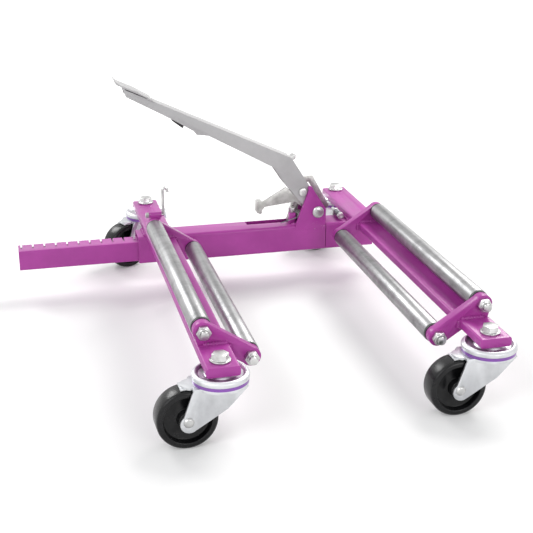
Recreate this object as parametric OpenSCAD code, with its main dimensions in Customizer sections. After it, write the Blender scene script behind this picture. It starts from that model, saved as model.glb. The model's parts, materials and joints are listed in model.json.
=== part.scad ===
// Ratchet car-positioning jack: two roller arms on casters, drawn together
// along a notched bar by a foot pedal.  Millimetres, +Z up.
// X runs along the notched bar, Y along the rollers.
// The origin is on the floor, under the middle of the closed jack.

/* [Layout] */
// Distance between the caster bolts of the two arms, closed
bolt_span_x = 333; // [300:1:400]
// Distance between the two caster bolts of one arm
bolt_span_y = 631; // [560:1:760]
// Width of each flat arm
arm_w = 40; // [36:1:50]
// Thickness of each flat arm
arm_t = 12; // [10:1:16]
// Arm length beyond the front caster bolt
arm_front = 19; // [16:1:30]
// Arm length beyond the rear caster bolt
arm_rear = 13; // [12:1:30]

/* [Bar and tubes] */
// Outer width of the square tubes
tube_w = 44; // [40:1:50]
// Wall of the square tubes
tube_wall = 3; // [2:0.5:4]
// Tube centre line, in front of the rear caster bolts
tube_setback = 121.5; // [110:0.5:150]
// Length of the outer tube left of the left arm's middle
outer_left = 31; // [24:1:60]
// Length of the outer tube right of the left arm's middle
outer_right = 272; // [240:1:300]
// Width of the notched bar
bar_w = 31; // [24:0.5:33]
// Wall of the notched bar
bar_wall = 6.5; // [5:0.5:9]
// Bar length left of the left arm's middle, closed
bar_left = 214; // [180:1:230]
// Distance between notches
notch_pitch = 17.5; // [14:0.5:24]
// Depth of each notch
notch_depth = 4; // [2:0.5:5]
// Gap between the tubes when the jack is closed
seam_gap = 1; // [0.5:0.5:3]
// Width of the slot over the notches
slot_w = 17; // [15:0.5:20]

/* [Rollers] */
// Outer diameter of each roller
roller_d = 26; // [22:0.5:30]
// Wall of each roller
roller_wall = 3; // [2:0.5:4]
// Roller axle diameter
axle_d = 10; // [8:1:12]
// Outer roller's middle, outwards from the arm's middle
upper_out = 11; // [6:1:16]
// Outer roller's middle, above the arm's top
upper_up = 17; // [14:1:22]
// Inner roller's middle, inwards from the arm's middle
lower_in = 47; // [40:1:60]
// Inner roller's middle, below the arm's top
lower_down = 21.5; // [18:0.5:30]
// Thickness of the roller brackets
bracket_t = 12; // [8:1:14]
// Front face of the rear roller brackets, in front of the rear bolts
bracket_rear = 187; // [180:1:230]
// Front face of the front roller brackets, in front of the rear bolts
bracket_front = 585; // [540:1:600]

/* [Casters] */
// Wheel diameter
wheel_d = 73; // [60:1:80]
// Wheel width
wheel_w = 28; // [20:1:32]
// Distance from the swivel axis to the wheel's middle
trail = 42; // [32:1:44]
// Wheel axle height below the arm's top
axle_drop = 64.5; // [62:0.5:72]
// Diameter of the swivel race
race_d = 68; // [60:1:72]
// Caster bolt diameter
bolt_d = 12; // [10:1:14]

/* [Pedal] */
// Pivot, right of the left arm's middle
pivot_x = 259; // [250:1:262]
// Pivot height above the arm's top
pivot_z = 8.5; // [6:0.5:12]
// Pivot pin diameter
pivot_d = 12; // [10:1:14]
// Outer width of the pedal channel
pedal_w = 33; // [30:0.5:34]
// Sheet thickness of the pedal channel
pedal_wall = 2.5; // [2:0.5:3]
// Length of the pedal from its bend to its end
pedal_len = 283; // [240:1:320]
// Angle of the pedal's long part above the level
pedal_rise = 25; // [20:1:30]
// Thickness of the pedal bracket plates
cheek_t = 5; // [4:0.5:6]

/* [Hidden] */
$fn = 64;

purple = [0.66, 0.31, 0.59];
zinc = [0.78, 0.79, 0.80];
sheet_grey = [0.74, 0.73, 0.76];
black = [0.09, 0.09, 0.10];
violet = [0.58, 0.36, 0.74];

run_gap = 0.05;
loose_gap = 0.3;

// Places: all are taken from the rear bolt of the left arm, on the arm's top
wheel_bottom = -axle_drop - wheel_d / 2;
floor_shift = -wheel_bottom;
middle_x = (bolt_span_x + race_d / 2 - bar_left) / 2;
middle_y = -bolt_span_y / 2;
tube_y = -tube_setback;
tube_top = -arm_t;
tube_front = tube_y - tube_w / 2;
tube_back = tube_y + tube_w / 2;
tube_corner = 5;
receiver_left = outer_right + seam_gap;
receiver_right = bolt_span_x + arm_w / 2;
bar_floor = tube_top - tube_w + tube_wall + loose_gap;
bar_mid_z = bar_floor + bar_w / 2;
bar_top = bar_floor + bar_w;
bar_right = receiver_right - 6;
slot_left = outer_right - 125;
slot_y = tube_y + 9.5;

// Moves a piece from the arm frame to the jack's own frame
module place() {
    translate([-middle_x, -middle_y, floor_shift]) children();
}

// Flat shape in X and Z, from the plane y_front backwards by depth
module plate_xz(y_front, depth) {
    translate([0, y_front + depth, 0]) rotate([90, 0, 0]) linear_extrude(depth) children();
}

// Round bar along Y
module rod_y(x, z, y_front, length, d) {
    translate([x, y_front + length, z]) rotate([90, 0, 0]) cylinder(d = d, h = length);
}

// Hexagonal bar along Y, across_flats wide
module hex_y(x, z, y_front, length, across_flats) {
    translate([x, y_front + length, z]) rotate([90, 0, 0])
        cylinder(d = across_flats / cos(30), h = length, $fn = 6);
}

module rounded_box_2d(w, h, r) {
    square([w - 2 * r, h], center = true);
    square([w, h - 2 * r], center = true);
    for (sx = [-1, 1], sy = [-1, 1]) translate([sx * (w / 2 - r), sy * (h / 2 - r)]) circle(r);
}

// ---------------------------------------------------------------- arms

arm_round = 3;
arm_length = arm_rear + bolt_span_y + arm_front;
bolt_hole = bolt_d + 0.2;

module arm_bar() {
    difference() {
        translate([0, arm_rear, -arm_t / 2]) rotate([90, 0, 0])
            linear_extrude(arm_length) rounded_box_2d(arm_w, arm_t, arm_round);
        for (y = [0, -bolt_span_y]) translate([0, y, -arm_t - 1]) cylinder(d = bolt_hole, h = arm_t + 2);
    }
}

module left_arm() { color(purple) place() arm_bar(); }
module right_arm() { color(purple) place() translate([bolt_span_x, 0, 0]) arm_bar(); }

// ---------------------------------------------------------------- roller brackets

lug_r = 12;
web_r = lug_r - 0.6;
axle_hole = axle_d + 0.2;
lug_dx = upper_out + lower_in;
lug_dz = upper_up + lower_down;
lug_span = sqrt(lug_dx * lug_dx + lug_dz * lug_dz);
lug_slope = atan2(lug_dz, lug_dx);

// Bracket outline for the right arm: a slanted bar with two round lugs, and a
// foot under the upper lug
module bracket_2d() {
    difference() {
        union() {
            translate([upper_out, upper_up]) circle(lug_r);
            translate([-lower_in, -lower_down]) circle(lug_r);
            translate([-lower_in, -lower_down]) rotate(lug_slope)
                translate([0, -web_r]) square([lug_span, 2 * web_r]);
            polygon([[-2, -arm_t / 2], [arm_w / 2 - arm_round - 0.5, -arm_t / 2],
                     [arm_w / 2 - 0.5, upper_up * 0.3], [upper_out + lug_r - 0.5, upper_up - 1],
                     [upper_out, upper_up]]);
        }
        translate([0, -arm_t / 2]) rounded_box_2d(arm_w, arm_t, arm_round);
        translate([upper_out, upper_up]) circle(d = axle_hole);
        translate([-lower_in, -lower_down]) circle(d = axle_hole);
    }
}

module bracket(y_front) { plate_xz(y_front, bracket_t) bracket_2d(); }

module right_rear_bracket() {
    color(purple) place() translate([bolt_span_x, 0, 0]) bracket(-bracket_rear);
}
module right_front_bracket() {
    color(purple) place() translate([bolt_span_x, 0, 0]) bracket(-bracket_front);
}
module left_rear_bracket() { color(purple) place() mirror([1, 0, 0]) bracket(-bracket_rear); }
module left_front_bracket() { color(purple) place() mirror([1, 0, 0]) bracket(-bracket_front); }

// ---------------------------------------------------------------- tubes and bar

module tube_2d(hole_w, hole_h, hole_dz, hole_r) {
    difference() {
        rounded_box_2d(tube_w, tube_w, tube_corner);
        translate([0, hole_dz]) rounded_box_2d(hole_w, hole_h, hole_r);
    }
}

module along_x(x, y, z, length) {
    translate([x, y, z]) rotate([90, 0, 90]) linear_extrude(length) children();
}

tube_hole = tube_w - 2 * tube_wall;
tube_mid_z = tube_top - tube_w / 2;

module outer_tube() {
    color(purple) place() difference() {
        along_x(-outer_left, tube_y, tube_mid_z, outer_left + outer_right)
            tube_2d(tube_hole, tube_hole, 0, tube_corner - tube_wall);
        translate([slot_left, slot_y - slot_w / 2, tube_top - tube_wall - 1])
            cube([outer_right - slot_left - 8, slot_w, tube_wall + 2]);
    }
}

bar_corner = 1.5;
receiver_hole = bar_w + 0.2;

module receiver_tube() {
    color(purple) place() along_x(receiver_left, tube_y, tube_mid_z, receiver_right - receiver_left)
        tube_2d(receiver_hole, receiver_hole, bar_mid_z - tube_mid_z, bar_corner);
}

notch_first = 3.5;
notch_w = 2.6;
notch_share = 0.62;
notch_count = floor((outer_right + bar_left - notch_first) / notch_pitch);

module notched_bar() {
    bar_length = bar_left + bar_right;
    color(purple) place() difference() {
        along_x(-bar_left, tube_y, bar_mid_z, bar_length) rounded_box_2d(bar_w, bar_w, bar_corner);
        along_x(-bar_left - 1, tube_y, bar_mid_z, bar_length + 2)
            square(bar_w - 2 * bar_wall, center = true);
        for (i = [0:notch_count]) translate([-bar_left + notch_first + i * notch_pitch, 0, 0])
            translate([0, tube_y + bar_w / 2 - bar_w * notch_share, bar_top - notch_depth])
                cube([notch_w, bar_w * notch_share + 1, notch_depth + 1]);
    }
}

// Spring-loaded bolt beside the right arm, on the receiver tube
keeper_x = 301;
keeper_z = tube_top + 7;
keeper_front = tube_y - 12;

module receiver_bolt() {
    color(zinc) place() {
        hex_y(keeper_x, keeper_z, keeper_front, 5, 10);
        rod_y(keeper_x, keeper_z, keeper_front, 46, 5);
        translate([keeper_x - 4, keeper_front + 30, tube_top]) cube([8, 4, 11]);
    }
}

module receiver_spring() {
    turns = 6;
    turn_gap = 3.4;
    color(zinc) place() for (i = [0:turns - 1])
        translate([keeper_x, keeper_front + 8 + i * turn_gap, keeper_z]) rotate([90, 0, 0])
            rotate_extrude($fn = 32) translate([3.9, 0]) circle(0.9, $fn = 16);
}

// ---------------------------------------------------------------- roller axles and rollers

axle_head = 6.5;
nut_len = 10;
axle_tail = 4;
axle_front = -bracket_front - nut_len - axle_tail;
axle_back = -bracket_rear + bracket_t;

module axle_bolt(x, z) {
    hex_y(x, z, axle_back, axle_head, 16);
    rod_y(x, z, axle_front, axle_back - axle_front, axle_d);
}

module axle_nut(x, z) {
    difference() {
        union() {
            hex_y(x, z, -bracket_front - nut_len + 3, nut_len - 3, 16);
            rod_y(x, z, -bracket_front - nut_len, 3.5, 14);
        }
        rod_y(x, z, -bracket_front - nut_len - 1, nut_len + 2, axle_d);
    }
}

left_upper_x = -upper_out;
left_lower_x = lower_in;
right_upper_x = bolt_span_x + upper_out;
right_lower_x = bolt_span_x - lower_in;

module left_roller_axles() {
    color(zinc) place() {
        axle_bolt(left_upper_x, upper_up);
        axle_bolt(left_lower_x, -lower_down);
    }
}
module left_roller_nuts() {
    color(zinc) place() {
        axle_nut(left_upper_x, upper_up);
        axle_nut(left_lower_x, -lower_down);
    }
}
module right_roller_axles() {
    color(zinc) place() {
        axle_bolt(right_upper_x, upper_up);
        axle_bolt(right_lower_x, -lower_down);
    }
}
module right_roller_nuts() {
    color(zinc) place() {
        axle_nut(right_upper_x, upper_up);
        axle_nut(right_lower_x, -lower_down);
    }
}

roller_side_gap = 0.6;
roller_front = -bracket_front + bracket_t + roller_side_gap;
roller_len = -bracket_rear - roller_side_gap - roller_front;
roller_bore = roller_d - 2 * roller_wall;
bush_len = 14;
bush_flange = 4;

// Steel tube of one roller, between the flanges of its two bushes
module roller_tube(x, z) {
    difference() {
        rod_y(x, z, roller_front + bush_flange, roller_len - 2 * bush_flange, roller_d);
        rod_y(x, z, roller_front - 1, roller_len + 2, roller_bore);
    }
}

module roller_bushes(x, z) {
    for (end = [0, 1]) difference() {
        union() {
            rod_y(x, z, roller_front + end * (roller_len - bush_len), bush_len, roller_bore);
            rod_y(x, z, roller_front + end * (roller_len - bush_flange), bush_flange, roller_d - 1);
        }
        rod_y(x, z, roller_front - 1, roller_len + 2, axle_d + 2 * run_gap);
    }
}

module left_outer_roller() { color(zinc) place() roller_tube(left_upper_x, upper_up); }
module left_outer_bushes() { color(black) place() roller_bushes(left_upper_x, upper_up); }
module left_inner_roller() { color(zinc) place() roller_tube(left_lower_x, -lower_down); }
module left_inner_bushes() { color(black) place() roller_bushes(left_lower_x, -lower_down); }
module right_outer_roller() { color(zinc) place() roller_tube(right_upper_x, upper_up); }
module right_outer_bushes() { color(black) place() roller_bushes(right_upper_x, upper_up); }
module right_inner_roller() { color(zinc) place() roller_tube(right_lower_x, -lower_down); }
module right_inner_bushes() { color(black) place() roller_bushes(right_lower_x, -lower_down); }

// ---------------------------------------------------------------- pedal bracket

cheek_front = tube_front - 0.5;
cheek_rear = tube_back + 0.5 - cheek_t;

// Where the cheek plates' rounded tips are, from the pivot
tip_dx = -13;
tip_dz = 39.5;
tip_r = 3.8;

// Triangular cheek plate, welded on the outer tube's end
module cheek_2d(pin_hole) {
    difference() {
        union() {
            polygon([[pivot_x - 37, tube_top - 8], [outer_right, tube_top - 8], [outer_right, pivot_z + 4],
                     [pivot_x + tip_dx + tip_r, pivot_z + tip_dz],
                     [pivot_x + tip_dx - 1.5, pivot_z + tip_dz],
                     [pivot_x - 36, tube_top + 3]]);
            translate([pivot_x + tip_dx, pivot_z + tip_dz]) circle(tip_r);
        }
        translate([pivot_x, pivot_z]) circle(d = pivot_d + 0.2);
        if (pin_hole) translate([hold_x, hold_z]) circle(d = hold_pin_d + 0.2);
    }
}

module tube_body() {
    along_x(-outer_left, tube_y, tube_mid_z, outer_left + outer_right)
        rounded_box_2d(tube_w, tube_w, tube_corner);
}

// Block on the tube that carries the stop bolt for the release lever
stop_x = pivot_x - 39;
stop_y = tube_y - 4.5;
stop_block = 10;
stop_top = tube_top + 17;

module pedal_brackets() {
    color(purple) place() {
        difference() {
            union() {
                plate_xz(cheek_front, cheek_t) cheek_2d(false);
                plate_xz(cheek_rear, cheek_t) cheek_2d(true);
            }
            tube_body();
        }
        translate([stop_x - stop_block / 2, stop_y - stop_block / 2, tube_top])
            cube([stop_block, stop_block, stop_top - tube_top]);
    }
}

module stop_bolt() {
    color(zinc) place() translate([stop_x, stop_y, stop_top]) {
        cylinder(d = 6, h = 9);
        translate([0, 0, 4]) cylinder(d = 10 / cos(30), h = 5, $fn = 6);
    }
}

// ---------------------------------------------------------------- pedal

bend_x = pivot_x - 43;
bend_z = pivot_z + 90;
pedal_front = tube_y - pedal_w / 2;
pedal_rear = pedal_front + pedal_w;

// Side of the long part: x runs from the bend to the foot end, y is depth under its top
module upper_side_2d() {
    polygon([[0, 0], [pedal_len, 0], [pedal_len, -4], [pedal_len - 5, -9.4], [pedal_len - 25, -10.6],
             [pedal_len - 81, -14.1], [pedal_len - 120, -18.5], [pedal_len - 127, -21.9],
             [pedal_len - 144.5, -16.5], [21, -24.5], [0, -20]]);
}

// Carries a shape drawn along the long part into X and Z
module on_upper() {
    translate([bend_x, bend_z]) mirror([1, 0]) rotate(pedal_rise) children();
}

ear_r = 13;

// The short part runs from the bend down to the pivot
module lower_side_2d() {
    polygon([[bend_x, bend_z], [bend_x - 29, bend_z - 13.5], [pivot_x - 53, pivot_z + 47.7],
             [pivot_x - 25.3, pivot_z + 13.8], [pivot_x - 12, pivot_z - 5],
             [pivot_x + ear_r * 0.6, pivot_z + ear_r * 0.79], [pivot_x - 13.3, pivot_z + 42.7]]);
    translate([pivot_x, pivot_z]) circle(ear_r);
}

// Bolt through the web just under the bend, at right angles to the web
bend_bolt_d = 6;
bend_bolt_down = 7.5;
bend_bolt_y = tube_y + 8;
web_dx = pivot_x - 13.3 - bend_x;
web_dz = pivot_z + 42.7 - bend_z;
web_slope = atan2(-web_dz, web_dx);

module at_bend_bolt() {
    translate([bend_x + bend_bolt_down * cos(web_slope), bend_bolt_y,
               bend_z - bend_bolt_down * sin(web_slope)])
        rotate([0, web_slope, 0]) children();
}

module pedal_side_2d() {
    difference() {
        union() {
            on_upper() upper_side_2d();
            lower_side_2d();
        }
        translate([pivot_x, pivot_z]) circle(d = pivot_d + 2 * run_gap);
        translate([drive_x, drive_z]) circle(d = drive_pin_d + 0.2);
    }
}

// Web of the channel: follows the top of the long part and the back of the short part
module pedal_web_2d() {
    on_upper() translate([0, -pedal_wall]) square([pedal_len, pedal_wall]);
    polygon([[bend_x, bend_z], [bend_x - 3, bend_z - 2], [pivot_x - 15.6, pivot_z + 41.3],
             [pivot_x - 13.3, pivot_z + 42.7]]);
}

module pedal_lever() {
    color(sheet_grey) place() difference() {
        union() {
            plate_xz(pedal_front, pedal_wall) pedal_side_2d();
            plate_xz(pedal_rear - pedal_wall, pedal_wall) pedal_side_2d();
            plate_xz(pedal_front, pedal_w) pedal_web_2d();
        }
        at_bend_bolt() translate([0, 0, -8]) cylinder(d = bend_bolt_d + 0.2, h = 16);
    }
}

pad_w = 40;

// Foot pad: a plate welded on the pedal's end, clear of it further out, its tip turned up
module foot_pad() {
    tip = pedal_len + 20;
    color(sheet_grey) place() plate_xz(tube_y - pad_w / 2, pad_w) on_upper()
        polygon([[tip - 65, 0], [tip - 63, 2.2], [tip - 41, 4.2], [tip - 35, 4.9], [tip - 13, 4.6],
                 [tip - 5, 5.2], [tip, 7], [tip - 0.6, 4.8], [tip - 5, 2.3], [tip - 15, 1.8],
                 [tip - 37, 1.7], [tip - 53, 1.2], [tip - 55, 0]]);
}

// Rubber-faced strip under the pedal that the hook catches
module pedal_catch() {
    color(black) place() plate_xz(pedal_front + 4, pedal_w - 8) on_upper()
        polygon([[pedal_len - 84, -pedal_wall], [pedal_len - 84, -17], [pedal_len - 104, -21.5],
                 [pedal_len - 104, -pedal_wall]]);
}

pin_head_d = 19;

module pedal_pivot_pin() {
    color(zinc) place() {
        rod_y(pivot_x, pivot_z, cheek_front - 0.5, cheek_rear + cheek_t - cheek_front + 8, pivot_d);
        translate([pivot_x, cheek_front, pivot_z]) rotate([90, 0, 0]) rotate_extrude()
            polygon([[0, 0], [pin_head_d / 2, 0], [pin_head_d / 2, 1.4], [pin_head_d / 2 - 1.6, 2.6],
                     [pin_head_d / 2 - 4.5, 3.4], [0, 3.8]]);
        rod_y(pivot_x, pivot_z, cheek_rear + cheek_t, 3, 17);
    }
}

module pedal_bend_bolt() {
    color(zinc) place() at_bend_bolt() {
        translate([0, 0, -6]) cylinder(d = bend_bolt_d, h = 15.5);
        cylinder(d = 12, h = 1.6);
        translate([0, 0, 1.6]) cylinder(d = 10 / cos(30), h = 6, $fn = 6);
    }
}

// ---------------------------------------------------------------- pawls

drive_x = pivot_x - 24.5;
drive_z = pivot_z + 33.5;
drive_pin_d = 8;
drive_t = 5.5;
drive_y = slot_y - 7.5;
pawl_rest_gap = 0.6;
drive_reach = drive_z - bar_top - pawl_rest_gap;
drive_lean = 16.5;

module drive_pawl() {
    color(zinc) place() plate_xz(drive_y, drive_t) difference() {
        union() {
            translate([drive_x, drive_z]) circle(7.5);
            polygon([[drive_x - 6.8, drive_z - 1], [drive_x - drive_lean - 4, drive_z - drive_reach + 14],
                     [drive_x - drive_lean - 2, drive_z - drive_reach],
                     [drive_x - drive_lean + 4.5, drive_z - drive_reach + 3],
                     [drive_x + 6.4, drive_z - 2.5]]);
        }
        translate([drive_x, drive_z]) circle(d = drive_pin_d + 2 * run_gap);
    }
}

// The pawl's pin stands on the rear wall; a rivet closes the hole in the front wall
module drive_pawl_pin() {
    pin_front = drive_y - 1.5;
    color(zinc) place() {
        rod_y(drive_x, drive_z, pin_front, pedal_rear - pin_front, drive_pin_d);
        rod_y(drive_x, drive_z, pedal_rear, 2, 12);
        rod_y(drive_x, drive_z, pedal_front, pedal_wall, drive_pin_d);
        rod_y(drive_x, drive_z, pedal_front - 4, 4, 13.6);
    }
}

hold_x = pivot_x - 25;
hold_z = pivot_z - 11;
hold_pin_d = 8;
hold_t = 5;
hold_y = drive_y + drive_t + 0.5;

module holding_pawl() {
    color(zinc) place() plate_xz(hold_y, hold_t) difference() {
        union() {
            translate([hold_x, hold_z]) circle(7);
            polygon([[hold_x - 1, hold_z + 5.8], [hold_x + 18, hold_z - 5],
                     [hold_x + 20, bar_top + pawl_rest_gap], [hold_x + 15, bar_top + pawl_rest_gap],
                     [hold_x + 0.5, hold_z - 5.8]]);
        }
        translate([hold_x, hold_z]) circle(d = hold_pin_d + 2 * run_gap);
    }
}

module holding_pawl_pin() {
    color(zinc) place() {
        rod_y(hold_x, hold_z, cheek_front + cheek_t, cheek_rear - cheek_front, hold_pin_d);
        rod_y(hold_x, hold_z, cheek_rear + cheek_t, 2, 11);
    }
}

// Coil spring round the holding pawl's pin, with a straight leg along the slot
module pawl_spring() {
    wire = 1.4;
    color(zinc) place() {
        for (i = [0:4]) translate([hold_x, cheek_front + cheek_t + 3 + i * 1.9, hold_z]) rotate([90, 0, 0])
            rotate_extrude($fn = 32) translate([5.4, 0]) circle(d = wire, $fn = 16);
        translate([hold_x - 3.5, cheek_front + cheek_t + 3, hold_z + 4.4]) rotate([0, -108, 0])
            cylinder(d = wire, h = 34, $fn = 16);
    }
}

// ---------------------------------------------------------------- release lever and link

lever_t = 3;
lever_y = pedal_front + pedal_wall + 0.4;

module release_lever() {
    color(zinc) place() {
        plate_xz(lever_y, lever_t) difference() {
            union() {
                translate([pivot_x, pivot_z]) circle(10.5);
                polygon([[pivot_x - 4, pivot_z + 9.7], [pivot_x - 22, pivot_z + 20],
                         [pivot_x - 36, pivot_z + 31], [pivot_x - 52, pivot_z + 42],
                         [pivot_x - 90, pivot_z + 20.5],
                         [pivot_x - 91, pivot_z + 6], [pivot_x - 86, pivot_z + 12],
                         [pivot_x - 36, pivot_z + 17], [pivot_x - 9.5, pivot_z - 4]]);
            }
            translate([pivot_x, pivot_z]) circle(d = pivot_d + 2 * run_gap);
        }
        plate_xz(lever_y, 16) polygon([[pivot_x - 98, pivot_z + 21], [pivot_x - 90, pivot_z + 20.5],
            [pivot_x - 91, pivot_z + 1.5], [pivot_x - 94, pivot_z + 0.5], [pivot_x - 98.5, pivot_z + 3]]);
    }
}

link_y = cheek_rear + cheek_t;
link_t = 3;

// Strip behind the bracket's tip, down past the joint of the two tubes
module link_plate() {
    color(zinc) place() {
        plate_xz(link_y, link_t) polygon([
            [pivot_x - 16, pivot_z + 37], [pivot_x - 14, pivot_z + 47], [pivot_x + 3, pivot_z + 48],
            [pivot_x + 32, pivot_z - 5], [pivot_x + 25, pivot_z - 10], [pivot_x - 4, pivot_z + 38]]);
        rod_y(pivot_x - 8, pivot_z + 43, link_y + link_t, 2.5, 7);
        hex_y(pivot_x + 26.5, pivot_z - 2.5, link_y + link_t, 3.5, 6);
    }
}

// ---------------------------------------------------------------- hold-down hook

hook_z = upper_up + lug_r + 3;
hook_y = -bracket_rear + bracket_t + 4.5;
hook_wire = 4.5;
hook_x = left_upper_x + 16;
hook_rise = 38;
hook_curl = 3.5;

module hook_barrel() {
    color(purple) place() difference() {
        union() {
            translate([hook_x - 22, hook_y, hook_z]) rotate([0, 90, 0]) cylinder(d = 9, h = 19);
            translate([hook_x - 20, -bracket_rear + bracket_t, upper_up + 8.5])
                cube([15, 4, hook_z - upper_up - 8.5]);
        }
        translate([hook_x - 23, hook_y, hook_z]) rotate([0, 90, 0])
            cylinder(d = hook_wire + 2 * run_gap, h = 22);
    }
}

module hold_down_hook() {
    color(zinc) place() {
        translate([hook_x - 27, hook_y, hook_z]) rotate([0, 90, 0]) cylinder(d = hook_wire, h = 27);
        translate([hook_x - 26.5, hook_y, hook_z]) rotate([0, 90, 0]) cylinder(d = 9, h = 4, $fn = 6);
        translate([hook_x, hook_y, hook_z]) sphere(d = hook_wire);
        translate([hook_x, hook_y, hook_z]) cylinder(d = hook_wire, h = hook_rise);
        translate([hook_x + hook_curl, hook_y, hook_z + hook_rise]) rotate([90, 0, 0])
            rotate_extrude(angle = 180) translate([hook_curl, 0]) circle(d = hook_wire, $fn = 32);
        translate([hook_x + 2 * hook_curl, hook_y, hook_z + hook_rise - 3]) cylinder(d = hook_wire, h = 3);
    }
}

// ---------------------------------------------------------------- casters

flange_d = 25;
race_drop = 7.5;
race_bottom = -arm_t - race_drop;
seal_h = 4;
seal_top = race_bottom - loose_gap;
crown_top = seal_top - seal_h;
crown_t = 3.5;
crown_bottom = crown_top - crown_t;
kingpin_nut = 6.5;

// Bolt through the arm, race and fork, with its nut below
module caster_bolt() {
    cylinder(d = flange_d, h = 2.4);
    cylinder(d = 18 / cos(30), h = 9.5, $fn = 6);
    translate([0, 0, crown_bottom - loose_gap - kingpin_nut - 2])
        cylinder(d = bolt_d, h = -crown_bottom + loose_gap + kingpin_nut + 2.1);
    translate([0, 0, crown_bottom - loose_gap - kingpin_nut])
        cylinder(d = 17 / cos(30), h = kingpin_nut, $fn = 6);
}

module caster_race() {
    rim = race_d / 2;
    rotate_extrude() polygon([
        [bolt_d / 2 + 0.1, -arm_t], [16, -arm_t], [19, -arm_t - 3.6], [rim - 7.5, -arm_t - 3.6],
        [rim - 4.6, -arm_t - 0.4], [rim - 3, -arm_t - 0.4], [rim, -arm_t - 2.6], [rim, race_bottom],
        [14, race_bottom], [14, crown_top + loose_gap], [bolt_d / 2 + 0.1, crown_top + loose_gap]]);
}

module at_bolts(x) {
    for (y = [0, -bolt_span_y]) translate([x, y, 0]) children();
}

module left_caster_bolts() { color(zinc) place() at_bolts(0) caster_bolt(); }
module left_caster_races() { color(zinc) place() at_bolts(0) caster_race(); }
module right_caster_bolts() { color(zinc) place() at_bolts(bolt_span_x) caster_bolt(); }
module right_caster_races() { color(zinc) place() at_bolts(bolt_span_x) caster_race(); }

leg_t = 3;
leg_gap = 2;
leg_inner = wheel_w / 2 + leg_gap;
wheel_axle_d = 8;

// Fork, drawn with its wheel trailing towards +X
module fork() {
    difference() {
        union() {
            translate([0, 0, crown_bottom]) cylinder(r = race_d / 2 - 1, h = crown_t);
            translate([0, -17, crown_bottom]) cube([trail - 6, 34, crown_t]);
            translate([trail - 6, 0, crown_bottom]) cylinder(r = 12, h = crown_t);
            for (side = [-1, 1]) translate([0, side * (leg_inner + leg_t / 2), 0]) fork_leg();
        }
        translate([0, 0, crown_bottom - 1]) cylinder(d = bolt_d + 2 * run_gap, h = crown_t + 2);
    }
}

module fork_leg() {
    translate([0, leg_t / 2, 0]) rotate([90, 0, 0]) linear_extrude(leg_t) difference() {
        union() {
            polygon([[-race_d / 2 + 7, crown_top], [trail - 8, crown_top], [trail - 4, crown_top - 7],
                     [trail + 9.6, -axle_drop - 5], [trail - 9, -axle_drop - 10],
                     [-4, -axle_drop + 12], [-race_d / 2 + 5, crown_top - 3]]);
            translate([trail - 1, -axle_drop - 2]) circle(11);
        }
        translate([trail, -axle_drop]) circle(d = wheel_axle_d);
    }
}

module seal_ring() {
    rotate_extrude() translate([race_d / 2 - 6, crown_top]) square([5.2, seal_h]);
}

module wheel() {
    r = wheel_d / 2;
    h = wheel_w / 2;
    bore = wheel_axle_d / 2 + run_gap;
    translate([trail, 0, -axle_drop]) rotate([90, 0, 0]) rotate_extrude()
        polygon([[bore, -h - 1.4], [11, -h - 1.4], [12, -h + 8], [r - 9, -h + 8], [r - 7.5, -h],
                 [r - 3, -h], [r - 0.8, -h + 1.4], [r, -h + 4], [r, h - 4], [r - 0.8, h - 1.4],
                 [r - 3, h], [r - 7.5, h], [r - 9, h - 8], [12, h - 8], [11, h + 1.4], [bore, h + 1.4]]);
}

module wheel_axle() {
    half = leg_inner + leg_t;
    translate([trail, 0, -axle_drop]) rotate([90, 0, 0]) {
        translate([0, 0, -half - 1]) cylinder(d = wheel_axle_d, h = 2 * half + 2);
        for (side = [0, 1]) mirror([0, 0, side]) translate([0, 0, half]) cylinder(d1 = 13, d2 = 9, h = 2.2);
    }
}

// Stands a caster piece at a bolt, turned to the way its wheel trails
module caster_at(x, y, turn) {
    place() translate([x, y, 0]) rotate(turn) children();
}

turn_fl = 182;
turn_rl = 205;
turn_fr = 181;
turn_rr = 196;

module front_left_fork() { color(zinc) caster_at(0, -bolt_span_y, turn_fl) fork(); }
module front_left_seal() { color(violet) caster_at(0, -bolt_span_y, turn_fl) seal_ring(); }
module front_left_wheel() { color(black) caster_at(0, -bolt_span_y, turn_fl) wheel(); }
module front_left_axle() { color(zinc) caster_at(0, -bolt_span_y, turn_fl) wheel_axle(); }
module rear_left_fork() { color(zinc) caster_at(0, 0, turn_rl) fork(); }
module rear_left_seal() { color(violet) caster_at(0, 0, turn_rl) seal_ring(); }
module rear_left_wheel() { color(black) caster_at(0, 0, turn_rl) wheel(); }
module rear_left_axle() { color(zinc) caster_at(0, 0, turn_rl) wheel_axle(); }
module front_right_fork() { color(zinc) caster_at(bolt_span_x, -bolt_span_y, turn_fr) fork(); }
module front_right_seal() { color(violet) caster_at(bolt_span_x, -bolt_span_y, turn_fr) seal_ring(); }
module front_right_wheel() { color(black) caster_at(bolt_span_x, -bolt_span_y, turn_fr) wheel(); }
module front_right_axle() { color(zinc) caster_at(bolt_span_x, -bolt_span_y, turn_fr) wheel_axle(); }
module rear_right_fork() { color(zinc) caster_at(bolt_span_x, 0, turn_rr) fork(); }
module rear_right_seal() { color(violet) caster_at(bolt_span_x, 0, turn_rr) seal_ring(); }
module rear_right_wheel() { color(black) caster_at(bolt_span_x, 0, turn_rr) wheel(); }
module rear_right_axle() { color(zinc) caster_at(bolt_span_x, 0, turn_rr) wheel_axle(); }

// ---------------------------------------------------------------- output

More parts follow.
